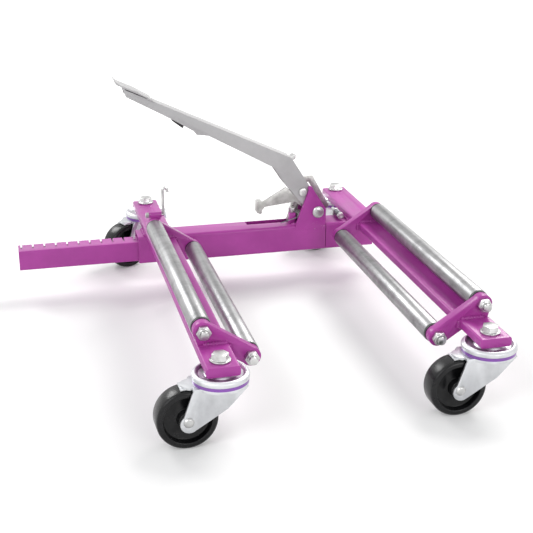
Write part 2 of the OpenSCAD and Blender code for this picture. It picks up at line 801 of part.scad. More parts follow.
left_arm();
left_rear_bracket();
left_front_bracket();
outer_tube();
pedal_brackets();
stop_bolt();
hook_barrel();
hold_down_hook();
right_arm();
right_rear_bracket();
right_front_bracket();
receiver_tube();
notched_bar();
receiver_bolt();
receiver_spring();
left_roller_axles();
left_roller_nuts();
right_roller_axles();
right_roller_nuts();
left_outer_roller();
left_outer_bushes();
left_inner_roller();
left_inner_bushes();
right_outer_roller();
right_outer_bushes();
right_inner_roller();
right_inner_bushes();
pedal_lever();
foot_pad();
pedal_catch();
pedal_pivot_pin();
pedal_bend_bolt();
drive_pawl();
drive_pawl_pin();
holding_pawl();
holding_pawl_pin();
pawl_spring();
release_lever();
link_plate();
left_caster_bolts();
left_caster_races();
right_caster_bolts();
right_caster_races();
front_left_fork();
front_left_seal();
front_left_wheel();
front_left_axle();
rear_left_fork();
rear_left_seal();
rear_left_wheel();
rear_left_axle();
front_right_fork();
front_right_seal();
front_right_wheel();
front_right_axle();
rear_right_fork();
rear_right_seal();
rear_right_wheel();
rear_right_axle();
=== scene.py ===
"""Looks for the roller jack: finishes, softened edges, welds, springs, fork lips, threads and the stage."""

import json
import math

import bmesh
import bpy
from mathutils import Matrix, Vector


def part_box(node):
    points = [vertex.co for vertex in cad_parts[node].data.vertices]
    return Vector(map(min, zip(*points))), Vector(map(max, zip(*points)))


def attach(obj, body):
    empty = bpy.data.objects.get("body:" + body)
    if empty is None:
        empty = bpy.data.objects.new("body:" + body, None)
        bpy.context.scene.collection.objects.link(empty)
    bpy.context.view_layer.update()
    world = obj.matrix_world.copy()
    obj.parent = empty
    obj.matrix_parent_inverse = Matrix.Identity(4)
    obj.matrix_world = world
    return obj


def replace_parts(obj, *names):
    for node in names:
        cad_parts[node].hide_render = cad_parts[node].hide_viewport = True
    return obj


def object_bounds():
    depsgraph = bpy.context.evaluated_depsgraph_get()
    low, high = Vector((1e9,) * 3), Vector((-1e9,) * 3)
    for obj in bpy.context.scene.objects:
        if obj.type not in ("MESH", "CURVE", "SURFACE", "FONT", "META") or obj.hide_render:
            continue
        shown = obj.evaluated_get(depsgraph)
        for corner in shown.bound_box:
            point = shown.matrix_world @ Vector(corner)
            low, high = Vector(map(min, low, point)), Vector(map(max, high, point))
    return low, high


bl_info = {
    "name": "Roller jack looks",
    "version": (1, 0, 0),
    "blender": (4, 5, 0),
    "location": "3D View > Sidebar > Jack",
    "description": "Paint, plating, welds, springs and a studio for the roller jack",
    "category": "Object",
}

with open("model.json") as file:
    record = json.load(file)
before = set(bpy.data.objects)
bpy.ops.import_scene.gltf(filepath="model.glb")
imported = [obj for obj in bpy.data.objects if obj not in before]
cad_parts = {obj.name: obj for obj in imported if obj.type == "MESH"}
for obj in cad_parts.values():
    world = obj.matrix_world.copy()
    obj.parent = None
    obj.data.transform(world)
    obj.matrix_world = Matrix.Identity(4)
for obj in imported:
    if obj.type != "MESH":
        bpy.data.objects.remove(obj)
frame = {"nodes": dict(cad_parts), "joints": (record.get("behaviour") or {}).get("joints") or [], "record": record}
CAD_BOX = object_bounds()
MM = 0.001
BARE_STEEL = (0.45, 0.43, 0.44)


# ------------------------------------------------------------------ sizes and colours


class JackSettings(bpy.types.PropertyGroup):
    paint: bpy.props.FloatVectorProperty(
        name="Paint", description="Colour of the painted steel", subtype="COLOR",
        size=3, min=0, max=1, default=(0.43, 0.050, 0.345))
    lever_paint: bpy.props.FloatVectorProperty(
        name="Pedal paint", description="Colour of the pedal", subtype="COLOR",
        size=3, min=0, max=1, default=(0.50, 0.495, 0.50))
    seal: bpy.props.FloatVectorProperty(
        name="Seal", description="Colour of the caster seals", subtype="COLOR",
        size=3, min=0, max=1, default=(0.19, 0.055, 0.33))
    wheel: bpy.props.FloatVectorProperty(
        name="Wheel", description="Colour of the caster wheels", subtype="COLOR",
        size=3, min=0, max=1, default=(0.0045, 0.0045, 0.0052))
    edge: bpy.props.FloatProperty(
        name="Edge radius", description="Radius broken on cut edges", unit="LENGTH",
        default=0.0006, min=0.0001, max=0.002)
    bead: bpy.props.FloatProperty(
        name="Weld bead", description="Radius of a weld bead", unit="LENGTH",
        default=0.0030, min=0.001, max=0.005)
    bead_step: bpy.props.FloatProperty(
        name="Weld ripple", description="Distance between weld ripples", unit="LENGTH",
        default=0.0019, min=0.001, max=0.005)
    wire: bpy.props.FloatProperty(
        name="Spring wire", description="Radius of the receiver spring's wire", unit="LENGTH",
        default=0.0009, min=0.0003, max=0.002)
    thread_pitch: bpy.props.FloatProperty(
        name="Thread pitch", description="Distance between thread crests", unit="LENGTH",
        default=0.0015, min=0.0008, max=0.003)


def settings():
    return bpy.context.scene.jack_settings


# ------------------------------------------------------------------ shader groups


class Net:
    """Short calls for building a node tree."""

    def __init__(self, tree):
        self.tree = tree

    def add(self, kind, inputs=None, **values):
        node = self.tree.nodes.new(kind)
        for key, value in values.items():
            setattr(node, key, value)
        for key, value in (inputs or {}).items():
            if isinstance(value, bpy.types.NodeSocket):
                self.tree.links.new(value, node.inputs[key])
            else:
                node.inputs[key].default_value = value
        return node

    def math(self, operation, a, b=0.0, clamp=False):
        return self.add("ShaderNodeMath", {0: a, 1: b}, operation=operation, use_clamp=clamp).outputs[0]

    def ramp(self, value, low, high, to_low=0.0, to_high=1.0):
        return self.add("ShaderNodeMapRange", {"Value": value, "From Min": low, "From Max": high,
                                               "To Min": to_low, "To Max": to_high}).outputs[0]

    def blend(self, factor, a, b):
        node = self.add("ShaderNodeMix", {"Factor": factor}, data_type="RGBA")
        for index, value in ((6, a), (7, b)):
            if isinstance(value, bpy.types.NodeSocket):
                self.tree.links.new(value, node.inputs[index])
            else:
                node.inputs[index].default_value = (*value[:3], 1.0)
        return node.outputs[2]

    def link(self, a, b):
        self.tree.links.new(a, b)


def new_group(name, inputs, outputs):
    tree = bpy.data.node_groups.new(name, "ShaderNodeTree")
    for label, kind, value in inputs:
        socket = tree.interface.new_socket(name=label, in_out="INPUT", socket_type=kind)
        if value is not None:
            socket.default_value = value
    for label, kind in outputs:
        tree.interface.new_socket(name=label, in_out="OUTPUT", socket_type=kind)
    net = Net(tree)
    return tree, net, net.add("NodeGroupInput"), net.add("NodeGroupOutput")


def worn_edges_group():
    """Worn: 1 on chipped or rubbed outer edges. Dust: soft patches over the whole surface."""
    tree, net, given, out = new_group(
        "Worn edges",
        [("Point", "NodeSocketVector", None), ("Scale", "NodeSocketFloat", 260.0),
         ("Amount", "NodeSocketFloat", 0.5)],
        [("Worn", "NodeSocketFloat"), ("Dust", "NodeSocketFloat")],
    )
    geometry = net.add("ShaderNodeNewGeometry")
    chips = net.add("ShaderNodeTexNoise", {"Vector": given.outputs["Point"], "Scale": given.outputs["Scale"],
                                           "Detail": 4.0, "Roughness": 0.6})
    edge = net.ramp(geometry.outputs["Pointiness"], 0.56, 0.64)
    cut = net.math("SUBTRACT", 1.0, given.outputs["Amount"])
    chipped = net.math("MULTIPLY", edge, net.math("GREATER_THAN", chips.outputs[0], cut))
    net.link(chipped, out.inputs["Worn"])
    broad = net.add("ShaderNodeTexNoise", {"Vector": given.outputs["Point"], "Scale": 14.0, "Detail": 5.0,
                                           "Roughness": 0.62})
    net.link(net.ramp(broad.outputs[0], 0.42, 0.68), out.inputs["Dust"])
    return tree


def streaks_group():
    """Long fine streaks along one axis, made by stretching noise along it."""
    tree, net, given, out = new_group(
        "Streaks",
        [("Point", "NodeSocketVector", None), ("Stretch", "NodeSocketVector", (1.0, 1.0, 1.0)),
         ("Scale", "NodeSocketFloat", 900.0)],
        [("Fine", "NodeSocketFloat"), ("Bands", "NodeSocketFloat")],
    )
    scaled = net.add("ShaderNodeVectorMath", {0: given.outputs["Point"], 1: given.outputs["Stretch"]},
                     operation="MULTIPLY")
    fine = net.add("ShaderNodeTexNoise", {"Vector": scaled.outputs[0], "Scale": given.outputs["Scale"],
                                          "Detail": 3.0, "Roughness": 0.7})
    lower = net.math("MULTIPLY", given.outputs["Scale"], 0.16)
    bands = net.add("ShaderNodeTexNoise", {"Vector": scaled.outputs[0], "Scale": lower, "Detail": 2.0})
    net.link(fine.outputs[0], out.inputs["Fine"])
    net.link(bands.outputs[0], out.inputs["Bands"])
    return tree


def orange_peel_group():
    """Height of sprayed paint: slow waves with a little grit on top."""
    tree, net, given, out = new_group(
        "Orange peel", [("Point", "NodeSocketVector", None), ("Scale", "NodeSocketFloat", 420.0)],
        [("Height", "NodeSocketFloat")])
    waves = net.add("ShaderNodeTexNoise", {"Vector": given.outputs["Point"], "Scale": given.outputs["Scale"],
                                           "Detail": 1.0})
    finer = net.math("MULTIPLY", given.outputs["Scale"], 5.0)
    grit = net.add("ShaderNodeTexNoise", {"Vector": given.outputs["Point"], "Scale": finer, "Detail": 2.0})
    height = net.math("ADD", waves.outputs[0], net.math("MULTIPLY", grit.outputs[0], 0.25))
    net.link(height, out.inputs["Height"])
    return tree


GROUPS = {}


def group(name):
    makers = {"worn": worn_edges_group, "streaks": streaks_group, "peel": orange_peel_group}
    if name not in GROUPS:
        GROUPS[name] = makers[name]()
    return GROUPS[name]


# ------------------------------------------------------------------ materials


def new_material(name, roughness, metallic=0.0, **sockets):
    material = bpy.data.materials.new(name)
    material.use_nodes = True
    tree = material.node_tree
    tree.nodes.clear()
    net = Net(tree)
    shader = net.add("ShaderNodeBsdfPrincipled", {"Roughness": roughness, "Metallic": metallic})
    for key, value in sockets.items():
        shader.inputs[key.replace("_", " ")].default_value = value
    output = net.add("ShaderNodeOutputMaterial")
    net.link(shader.outputs[0], output.inputs["Surface"])
    point = net.add("ShaderNodeTexCoord").outputs["Object"]
    return material, net, shader, point


def bump(net, shader, height, strength, distance):
    node = net.add("ShaderNodeBump", {"Height": height, "Strength": strength, "Distance": distance})
    net.link(node.outputs[0], shader.inputs["Normal"])


def paint_material(name, colour, wear, peel_scale=420.0, roughness=0.34):
    """Sprayed enamel over steel: orange peel, slight dust, metal at rubbed edges."""
    material, net, shader, point = new_material(name, roughness, Coat_Weight=0.12, Coat_Roughness=0.20,
                                                Specular_IOR_Level=0.36)
    worn = net.add("ShaderNodeGroup", {}, node_tree=group("worn"))
    net.link(point, worn.inputs["Point"])
    worn.inputs["Amount"].default_value = wear
    dark = [c * 0.90 for c in colour]
    light = [min(1.0, c * 1.06 + 0.004) for c in colour]
    mottled = net.blend(worn.outputs["Dust"], dark, light)
    net.link(net.blend(worn.outputs["Worn"], mottled, BARE_STEEL), shader.inputs["Base Color"])
    dulled = net.ramp(worn.outputs["Dust"], 0, 1, roughness - 0.06, roughness + 0.10)
    net.link(dulled, shader.inputs["Roughness"])
    net.link(net.math("MULTIPLY", worn.outputs["Worn"], 0.8), shader.inputs["Metallic"])
    peel = net.add("ShaderNodeGroup", {}, node_tree=group("peel"))
    net.link(point, peel.inputs["Point"])
    peel.inputs["Scale"].default_value = peel_scale
    bump(net, shader, peel.outputs["Height"], 0.16, 0.0004)
    return material


def metal_material(name, dark, light, roughness, stretch, scale=900.0, depth=0.10, smudge=0.82):
    """Bare or plated steel with streaks along the stretch's short axis and dull handled patches."""
    material, net, shader, point = new_material(name, roughness, metallic=1.0)
    streaks = net.add("ShaderNodeGroup", {}, node_tree=group("streaks"))
    net.link(point, streaks.inputs["Point"])
    streaks.inputs["Stretch"].default_value = stretch
    streaks.inputs["Scale"].default_value = scale
    tone = net.ramp(streaks.outputs["Bands"], 0.34, 0.66)
    handled = net.add("ShaderNodeTexNoise", {"Vector": point, "Scale": 38.0, "Detail": 6.0,
                                             "Roughness": 0.68})
    dull = net.ramp(handled.outputs[0], 0.44, 0.64)
    toned = net.blend(tone, dark, light)
    dulled = net.blend(tone, [c * smudge for c in dark], [c * smudge for c in light])
    net.link(net.blend(dull, toned, dulled), shader.inputs["Base Color"])
    fine = net.ramp(streaks.outputs["Fine"], 0.3, 0.7, roughness - 0.06, roughness + 0.07)
    net.link(net.math("ADD", fine, net.math("MULTIPLY", dull, 0.06)), shader.inputs["Roughness"])
    bump(net, shader, streaks.outputs["Fine"], depth, 0.0002)
    return material


def plastic_material(name, colour, roughness, grain=1500.0, depth=0.10, coat=0.0, specular=0.5):
    """Moulded plastic with a fine grain and slight colour drift."""
    material, net, shader, point = new_material(name, roughness, Coat_Weight=coat, Coat_Roughness=0.12,
                                                Specular_IOR_Level=specular)
    drift = net.add("ShaderNodeTexNoise", {"Vector": point, "Scale": 30.0, "Detail": 3.0})
    fine = net.add("ShaderNodeTexNoise", {"Vector": point, "Scale": grain, "Detail": 2.0})
    light = [min(1.0, c * 1.35 + 0.004) for c in colour]
    net.link(net.blend(net.ramp(drift.outputs[0], 0.35, 0.65), colour, light), shader.inputs["Base Color"])
    gloss = net.ramp(drift.outputs[0], 0.35, 0.65, roughness - 0.05, roughness + 0.08)
    net.link(gloss, shader.inputs["Roughness"])
    bump(net, shader, fine.outputs[0], depth, 0.0002)
    return material


MATERIALS = {}


def material(name):
    """The finish for a material slot or for a small piece, made on first use."""
    s = settings()
    if name in MATERIALS:
        return MATERIALS[name]
    if name == "purple_paint":
        made = paint_material("Purple enamel", s.paint, 0.36)
    elif name == "weld":
        made = paint_material("Painted weld", [c * 0.92 for c in s.paint], 0.30, peel_scale=1400.0,
                              roughness=0.40)
    elif name == "grey_paint":
        made = paint_material("Grey enamel", s.lever_paint, 0.30, roughness=0.42)
    elif name == "bright_steel":
        made = metal_material("Drawn steel", (0.27, 0.27, 0.275), (0.47, 0.47, 0.475), 0.36, (1.0, 0.02, 1.0),
                              smudge=0.70)
    elif name == "cast_steel":
        made = metal_material("Tumbled steel", (0.42, 0.415, 0.40), (0.58, 0.575, 0.56), 0.42,
                              (1.0, 1.0, 1.0), scale=620.0, depth=0.16, smudge=0.86)
    elif name == "zinc_plate":
        made = metal_material("Zinc plate", (0.56, 0.57, 0.59), (0.73, 0.74, 0.76), 0.38, (1.0, 1.0, 0.35),
                              scale=260.0, depth=0.05, smudge=0.90)
    elif name == "fastener_zinc":
        made = metal_material("Zinc fasteners", (0.50, 0.50, 0.50), (0.74, 0.74, 0.73), 0.30, (1.0, 1.0, 0.6),
                              scale=420.0, depth=0.08)
    elif name == "dark_steel":
        made = metal_material("Oiled spring steel", (0.16, 0.16, 0.18), (0.34, 0.34, 0.36), 0.32,
                              (1.0, 1.0, 1.0))
    elif name == "violet_plastic":
        made = plastic_material("Violet seal", list(s.seal), 0.30, grain=900.0, coat=0.3)
    elif name == "wheel_plastic":
        made = plastic_material("Black wheel", list(s.wheel), 0.22, grain=320.0, depth=0.22, specular=0.30)
    elif name == "black_nylon":
        made = plastic_material("Black bush", [0.014, 0.014, 0.016], 0.45)
    elif name == "rubber_pad":
        made = plastic_material("Rubber strip", [0.02, 0.02, 0.021], 0.62, grain=2200.0, depth=0.25)
    else:
        raise ValueError("no finish is named " + name)
    MATERIALS[name] = made
    return made


# ------------------------------------------------------------------ pieces


def add_piece(name, mesh, body, slot, finish=None, smooth_angle=38.0):
    """Puts a finished mesh in the scene, riding on a body."""
    if not mesh.polygons:
        raise RuntimeError(name + " came out empty")
    mesh.name = name
    mesh.materials.clear()
    mesh.materials.append(material(finish or slot))
    mesh.polygons.foreach_set("use_smooth", [True] * len(mesh.polygons))
    mesh.set_sharp_from_angle(angle=math.radians(smooth_angle))
    piece = bpy.data.objects.new(name, mesh)
    bpy.context.scene.collection.objects.link(piece)
    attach(piece, body)
    return piece


def mesh_from(bm, name):
    bmesh.ops.remove_doubles(bm, verts=bm.verts, dist=1e-6)
    bmesh.ops.recalc_face_normals(bm, faces=bm.faces)
    mesh = bpy.data.meshes.new(name)
    bm.to_mesh(mesh)
    bm.free()
    return mesh


def wire_mesh(bm, points, radius, sides=12):
    """Adds a round wire along points, closed at both ends."""
    rings = []
    up = Vector((0.31, 0.2, 0.93))
    for i, here in enumerate(points):
        ahead = points[min(i + 1, len(points) - 1)] - points[max(i - 1, 0)]
        ahead.normalize()
        side = ahead.cross(up).normalized()
        up = side.cross(ahead).normalized()
        rings.append([bm.verts.new(here + (side * math.cos(a) + up * math.sin(a)) * radius)
                      for a in (2 * math.pi * k / sides for k in range(sides))])
    for a, b in zip(rings, rings[1:]):
        for k in range(sides):
            bm.faces.new((a[k], a[(k + 1) % sides], b[(k + 1) % sides], b[k]))
    bm.faces.new(rings[0])
    bm.faces.new(list(reversed(rings[-1])))


def softened(node, width):
    """A copy of a CAD node with its cut edges broken by a small radius."""
    source = frame["nodes"][node]
    mesh = source.data.copy()
    bm = bmesh.new()
    bm.from_mesh(mesh)
    bmesh.ops.remove_doubles(bm, verts=bm.verts, dist=2e-6)
    bmesh.ops.dissolve_limit(bm, angle_limit=math.radians(0.4), verts=bm.verts, edges=bm.edges)
    bm.to_mesh(mesh)
    bm.free()
    holder = bpy.data.objects.new(node + "_holder", mesh)
    bpy.context.scene.collection.objects.link(holder)
    bevel = holder.modifiers.new("Edges", "BEVEL")
    bevel.width = width
    bevel.segments = 2
    bevel.limit_method = "ANGLE"
    bevel.angle_limit = math.radians(32)
    bevel.use_clamp_overlap = True
    depsgraph = bpy.context.evaluated_depsgraph_get()
    result = bpy.data.meshes.new_from_object(holder.evaluated_get(depsgraph))
    bpy.data.objects.remove(holder)
    return result


TUMBLED = ("release_lever", "drive_pawl", "holding_pawl", "link_plate")


def finish_of(node):
    return "cast_steel" if node in TUMBLED else slot_of(node)


def slot_of(node):
    return next(row["material_slot"] for row in frame["record"]["subparts"] if row["node"] == node)


def body_of(node):
    return next(body for body, nodes in frame["record"]["behaviour"]["bodies"].items() if node in nodes)


def joint(name):
    return next(j for j in frame["joints"] if j["name"] == name)


# How far each main node's cut edges are broken, as a share of the edge setting.
SOFTENED = {
    "left_arm": 1.0, "right_arm": 1.0, "outer_tube": 0.7, "receiver_tube": 0.7, "notched_bar": 0.7,
    "left_rear_bracket": 1.5, "left_front_bracket": 1.5,
    "right_rear_bracket": 1.5, "right_front_bracket": 1.5,
    "pedal_brackets": 1.2, "pedal_lever": 1.0, "foot_pad": 1.0, "pedal_catch": 1.6, "hook_barrel": 0.8,
    "stop_bolt": 0.8, "drive_pawl": 1.0, "holding_pawl": 1.0, "release_lever": 0.8, "link_plate": 0.8,
    "drive_pawl_pin": 1.4, "pedal_bend_bolt": 0.8, "pedal_pivot_pin": 0.8, "receiver_bolt": 0.7,
    "left_caster_bolts": 1.1, "right_caster_bolts": 1.1, "left_roller_axles": 1.1, "right_roller_axles": 1.1,
    "left_roller_nuts": 1.1, "right_roller_nuts": 1.1, "left_caster_races": 0.9, "right_caster_races": 0.9,
    "front_left_fork": 1.0, "rear_left_fork": 1.0, "front_right_fork": 1.0, "rear_right_fork": 1.0,
    "front_left_wheel": 1.2, "rear_left_wheel": 1.2, "front_right_wheel": 1.2, "rear_right_wheel": 1.2,
    "front_left_axle": 0.8, "rear_left_axle": 0.8, "front_right_axle": 0.8, "rear_right_axle": 0.8,
    "left_outer_roller": 0.8, "left_inner_roller": 0.8, "right_outer_roller": 0.8, "right_inner_roller": 0.8,
}


class JACK_OT_finishes(bpy.types.Operator):
    """Gives every CAD node its finish and breaks the cut edges of the main ones"""

    bl_idname = "jack.finishes"
    bl_label = "Finishes and edges"

    def execute(self, context):
        for node, shown in frame["nodes"].items():
            slot = slot_of(node)
            shown.data.materials.clear()
            shown.data.materials.append(material(finish_of(node)))
            if node in SOFTENED:
                mesh = softened(node, SOFTENED[node] * settings().edge)
                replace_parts(add_piece(node + "_shown", mesh, body_of(node), slot, finish_of(node)), node)
        return {"FINISHED"}


# ------------------------------------------------------------------ rows of like pieces


def row_tree():
    """Geometry nodes: one shape repeated along a line, each turned and sized a little differently."""
    tree = bpy.data.node_groups.new("Row along a line", "GeometryNodeTree")
    face = tree.interface
    face.new_socket(name="Geometry", in_out="INPUT", socket_type="NodeSocketGeometry")
    for label, kind, value in (("Step", "NodeSocketFloat", 0.002), ("Size", "NodeSocketVector", (1, 1, 1)),
                               ("Vary", "NodeSocketFloat", 0.15), ("Seed", "NodeSocketInt", 7),
                               ("Shape", "NodeSocketObject", None), ("Finish", "NodeSocketMaterial", None)):
        socket = face.new_socket(name=label, in_out="INPUT", socket_type=kind)
        if value is not None:
            socket.default_value = value
    face.new_socket(name="Geometry", in_out="OUTPUT", socket_type="NodeSocketGeometry")
    net = Net(tree)
    given, out = net.add("NodeGroupInput"), net.add("NodeGroupOutput")
    line = net.add("GeometryNodeMeshToCurve", {"Mesh": given.outputs["Geometry"]})
    spaced = net.add("GeometryNodeResampleCurve", {"Curve": line.outputs[0], "Length": given.outputs["Step"]},
                     mode="LENGTH")
    tangent = net.add("GeometryNodeInputTangent")
    aim = net.add("FunctionNodeAlignRotationToVector", {"Vector": tangent.outputs[0]}, axis="X")
    shape = net.add("GeometryNodeObjectInfo", {"Object": given.outputs["Shape"]})
    low = net.add("ShaderNodeMath", {0: 1.0, 1: given.outputs["Vary"]}, operation="SUBTRACT")
    high = net.add("ShaderNodeMath", {0: 1.0, 1: given.outputs["Vary"]}, operation="ADD")
    spread = net.add("FunctionNodeRandomValue", {"Seed": given.outputs["Seed"]}, data_type="FLOAT")
    net.link(low.outputs[0], spread.inputs[2])
    net.link(high.outputs[0], spread.inputs[3])
    sized = net.add("ShaderNodeVectorMath", {0: given.outputs["Size"]}, operation="SCALE")
    net.link(spread.outputs[1], sized.inputs["Scale"])
    placed = net.add("GeometryNodeInstanceOnPoints", {
        "Points": spaced.outputs[0], "Instance": shape.outputs["Geometry"],
        "Rotation": aim.outputs[0], "Scale": sized.outputs[0]})
    real = net.add("GeometryNodeRealizeInstances", {0: placed.outputs[0]})
    painted = net.add("GeometryNodeSetMaterial", {"Geometry": real.outputs[0],
                                                  "Material": given.outputs["Finish"]})
    net.link(painted.outputs[0], out.inputs[0])
    return tree


def shape_object(name, bm):
    mesh = mesh_from(bm, name)
    return bpy.data.objects.new(name, mesh)


def row_mesh(tree, lines, shape, step, size, vary, seed, finish):
    """Runs the row tree on straight lines, each a pair of points, and returns one plain mesh."""
    guide_mesh = bpy.data.meshes.new("guide")
    verts, edges = [], []
    for start, end in lines:
        edges.append((len(verts), len(verts) + 1))
        verts += [start, end]
    guide_mesh.from_pydata(verts, edges, [])
    guide = bpy.data.objects.new("guide", guide_mesh)
    bpy.context.scene.collection.objects.link(guide)
    bpy.context.scene.collection.objects.link(shape)
    modifier = guide.modifiers.new("Row", "NODES")
    modifier.node_group = tree
    wanted = {"Step": step, "Size": size, "Vary": vary, "Seed": seed, "Shape": shape, "Finish": finish}
    for item in tree.interface.items_tree:
        if item.item_type == "SOCKET" and item.in_out == "INPUT" and item.name in wanted:
            modifier[item.identifier] = wanted[item.name]
    depsgraph = bpy.context.evaluated_depsgraph_get()
    result = bpy.data.meshes.new_from_object(guide.evaluated_get(depsgraph))
    bpy.data.objects.remove(guide)
    bpy.context.scene.collection.objects.unlink(shape)
    return result


BEAD_LEAN = 0.8 * MM
BEAD_LIFT = 0.4 * MM


def bracket_lines(side):
    """A bead across the arm's top and one down its inner edge, on both faces of each bracket."""
    arm_low, arm_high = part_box(side + "_arm")
    inward = 1 if side == "left" else -1
    edge = arm_high.x if side == "left" else arm_low.x
    top = arm_high.z + BEAD_LIFT
    lines = []
    for place in ("rear", "front"):
        low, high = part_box(f"{side}_{place}_bracket")
        for y in (low.y - BEAD_LEAN, high.y + BEAD_LEAN):
            lines.append(((edge - inward * 4 * MM, y, top), (edge - inward * 30 * MM, y, top)))
            down = edge + inward * 0.6 * MM
            lines.append(((down, y, arm_high.z - 3 * MM), (down, y, arm_low.z + 2 * MM)))
    return lines


def tube_lines(side, tube):
    """Beads where the arm's edges cross the top of its tube."""
    arm_low, arm_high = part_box(side + "_arm")
    low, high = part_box(tube)
    inset, top = 6 * MM, high.z + 0.6 * MM
    crossings = (arm_low.x - 0.3 * MM, arm_high.x + 0.3 * MM)
    return [((x, low.y + inset, top), (x, high.y - inset, top)) for x in crossings if x < high.x - 2 * MM]


def cheek_lines():
    """Beads along the feet of the pedal brackets."""
    low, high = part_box("pedal_brackets")
    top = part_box("outer_tube")[1].z + BEAD_LIFT
    foot, end = 5.6 * MM, 3 * MM
    return [((low.x + end, y, top), (high.x - end, y, top)) for y in (low.y + foot, high.y - foot)]


def weld_lines():
    """Where the weld beads run on each body, as pairs of points."""
    return {
        "frame": bracket_lines("left") + tube_lines("left", "outer_tube") + cheek_lines(),
        "slider": bracket_lines("right") + tube_lines("right", "receiver_tube"),
    }


class JACK_OT_welds(bpy.types.Operator):
    """Runs painted weld beads along the joints of brackets, arms and tubes"""

    bl_idname = "jack.welds"
    bl_label = "Weld beads"

    def execute(self, context):
        tree = row_tree()
        for body, lines in weld_lines().items():
            bm = bmesh.new()
            bmesh.ops.create_icosphere(bm, subdivisions=2, radius=1.0)
            ripple = shape_object("ripple", bm)
            radius = settings().bead
            size = (radius * 0.75, radius, radius)
            mesh = row_mesh(tree, lines, ripple, settings().bead_step, size, 0.14, 11, material("weld"))
            add_piece(body + "_welds", mesh, body, "purple_paint", "weld", smooth_angle=80)
        return {"FINISHED"}


def ring_bmesh(radius, wire, count=32, sides=6):
    """A ring round the X axis."""
    bm = bmesh.new()
    along = Vector((1, 0, 0))
    loops = []
    for i in range(count):
        a = 2 * math.pi * i / count
        out = Vector((0, math.cos(a), math.sin(a)))
        loop = []
        for k in range(sides):
            t = 2 * math.pi * k / sides
            loop.append(bm.verts.new(out * radius + (out * math.cos(t) + along * math.sin(t)) * wire))
        loops.append(loop)
    for i in range(count):
        a, b = loops[i], loops[(i + 1) % count]
        for k in range(sides):
            bm.faces.new((a[k], a[(k + 1) % sides], b[(k + 1) % sides], b[k]))
    return bm


CREST_RADIUS = 4.96 * MM
CREST_WIRE = 0.45 * MM
THREAD_END = 0.7 * MM
NUT_GAP = 0.3 * MM


class JACK_OT_threads(bpy.types.Operator):
    """Cuts thread crests on the roller axles' free ends"""

    bl_idname = "jack.threads"
    bl_label = "Threads"

    def execute(self, context):
        tree = row_tree()
        for side, body in (("left", "frame"), ("right", "slider")):
            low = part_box(side + "_roller_axles")[0]
            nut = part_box(side + "_roller_nuts")[0]
            lines = []
            for which in ("outer", "inner"):
                x, _, z = joint(f"{side}_{which}_roll_spin")["pos_m"]
                lines.append(((x, low.y + THREAD_END, z), (x, nut.y - NUT_GAP, z)))
            ring = shape_object("crest", ring_bmesh(CREST_RADIUS, CREST_WIRE))
            step = settings().thread_pitch * 0.7
            mesh = row_mesh(tree, lines, ring, step, (1, 1, 1), 0.0, 3, material("fastener_zinc"))
            add_piece(side + "_threads", mesh, body, "fastener_zinc", smooth_angle=60)
        return {"FINISHED"}


# ------------------------------------------------------------------ springs


def coil_points(centre, radius, start_y, end_y, first_angle, turns, steps):
    """Points of a helix round the Y axis."""
    points = []
    for i in range(steps + 1):
        t = i / steps
        angle = first_angle + 2 * math.pi * turns * t
        place = (centre.x + radius * math.cos(angle), start_y + (end_y - start_y) * t,
                 centre.z + radius * math.sin(angle))
        points.append(Vector(place))
    return points


def coil_piece(name, points, wire, body, slot, finish, node):
    """A wound wire that stands in for a spring's plain node."""
    bm = bmesh.new()
    wire_mesh(bm, points, wire)
    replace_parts(add_piece(name, mesh_from(bm, name), body, slot, finish, smooth_angle=80), node)


RECEIVER_TURNS = 6.5
PAWL_TURNS = 5.3
PAWL_WIRE = 0.7 * MM
PAWL_COIL_RADIUS = 5.4 * MM
PAWL_LEG_ANGLE = math.radians(150)
PAWL_LEG_LIFT = 0.4 * MM
PAWL_LEG_STEPS = 12


class JACK_OT_springs(bpy.types.Operator):
    """Winds the receiver spring and the pawl spring as real helices"""

    bl_idname = "jack.springs"
    bl_label = "Springs"

    def execute(self, context):
        low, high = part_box("receiver_spring")
        wire = settings().wire
        radius = (high.z - low.z) / 2 - wire
        points = coil_points((low + high) / 2, radius, low.y + wire, high.y - wire, 0.0, RECEIVER_TURNS, 180)
        coil_piece("receiver_coil", points, wire, "slider", "dark_steel", None, "receiver_spring")

        low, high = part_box("pawl_spring")
        pin = Vector(joint("holding_pawl_hinge")["pos_m"])
        first = PAWL_LEG_ANGLE - 2 * math.pi * PAWL_TURNS
        points = coil_points(pin, PAWL_COIL_RADIUS, high.y - PAWL_WIRE, low.y + PAWL_WIRE, first,
                             PAWL_TURNS, 150)
        turned = points[-1]
        foot = low + Vector((PAWL_WIRE, PAWL_WIRE, PAWL_WIRE + PAWL_LEG_LIFT))
        points += [turned.lerp(foot, k / PAWL_LEG_STEPS) for k in range(1, PAWL_LEG_STEPS + 1)]
        coil_piece("pawl_coil", points, PAWL_WIRE, "frame", "fastener_zinc", "dark_steel", "pawl_spring")
        return {"FINISHED"}


# ------------------------------------------------------------------ caster guards

LIP_GAP = 1.0 * MM
LIP_HALF_WIDTH = 10.0 * MM
LIP_THICK = 1.6 * MM
LIP_START = 94
LIP_END = 79


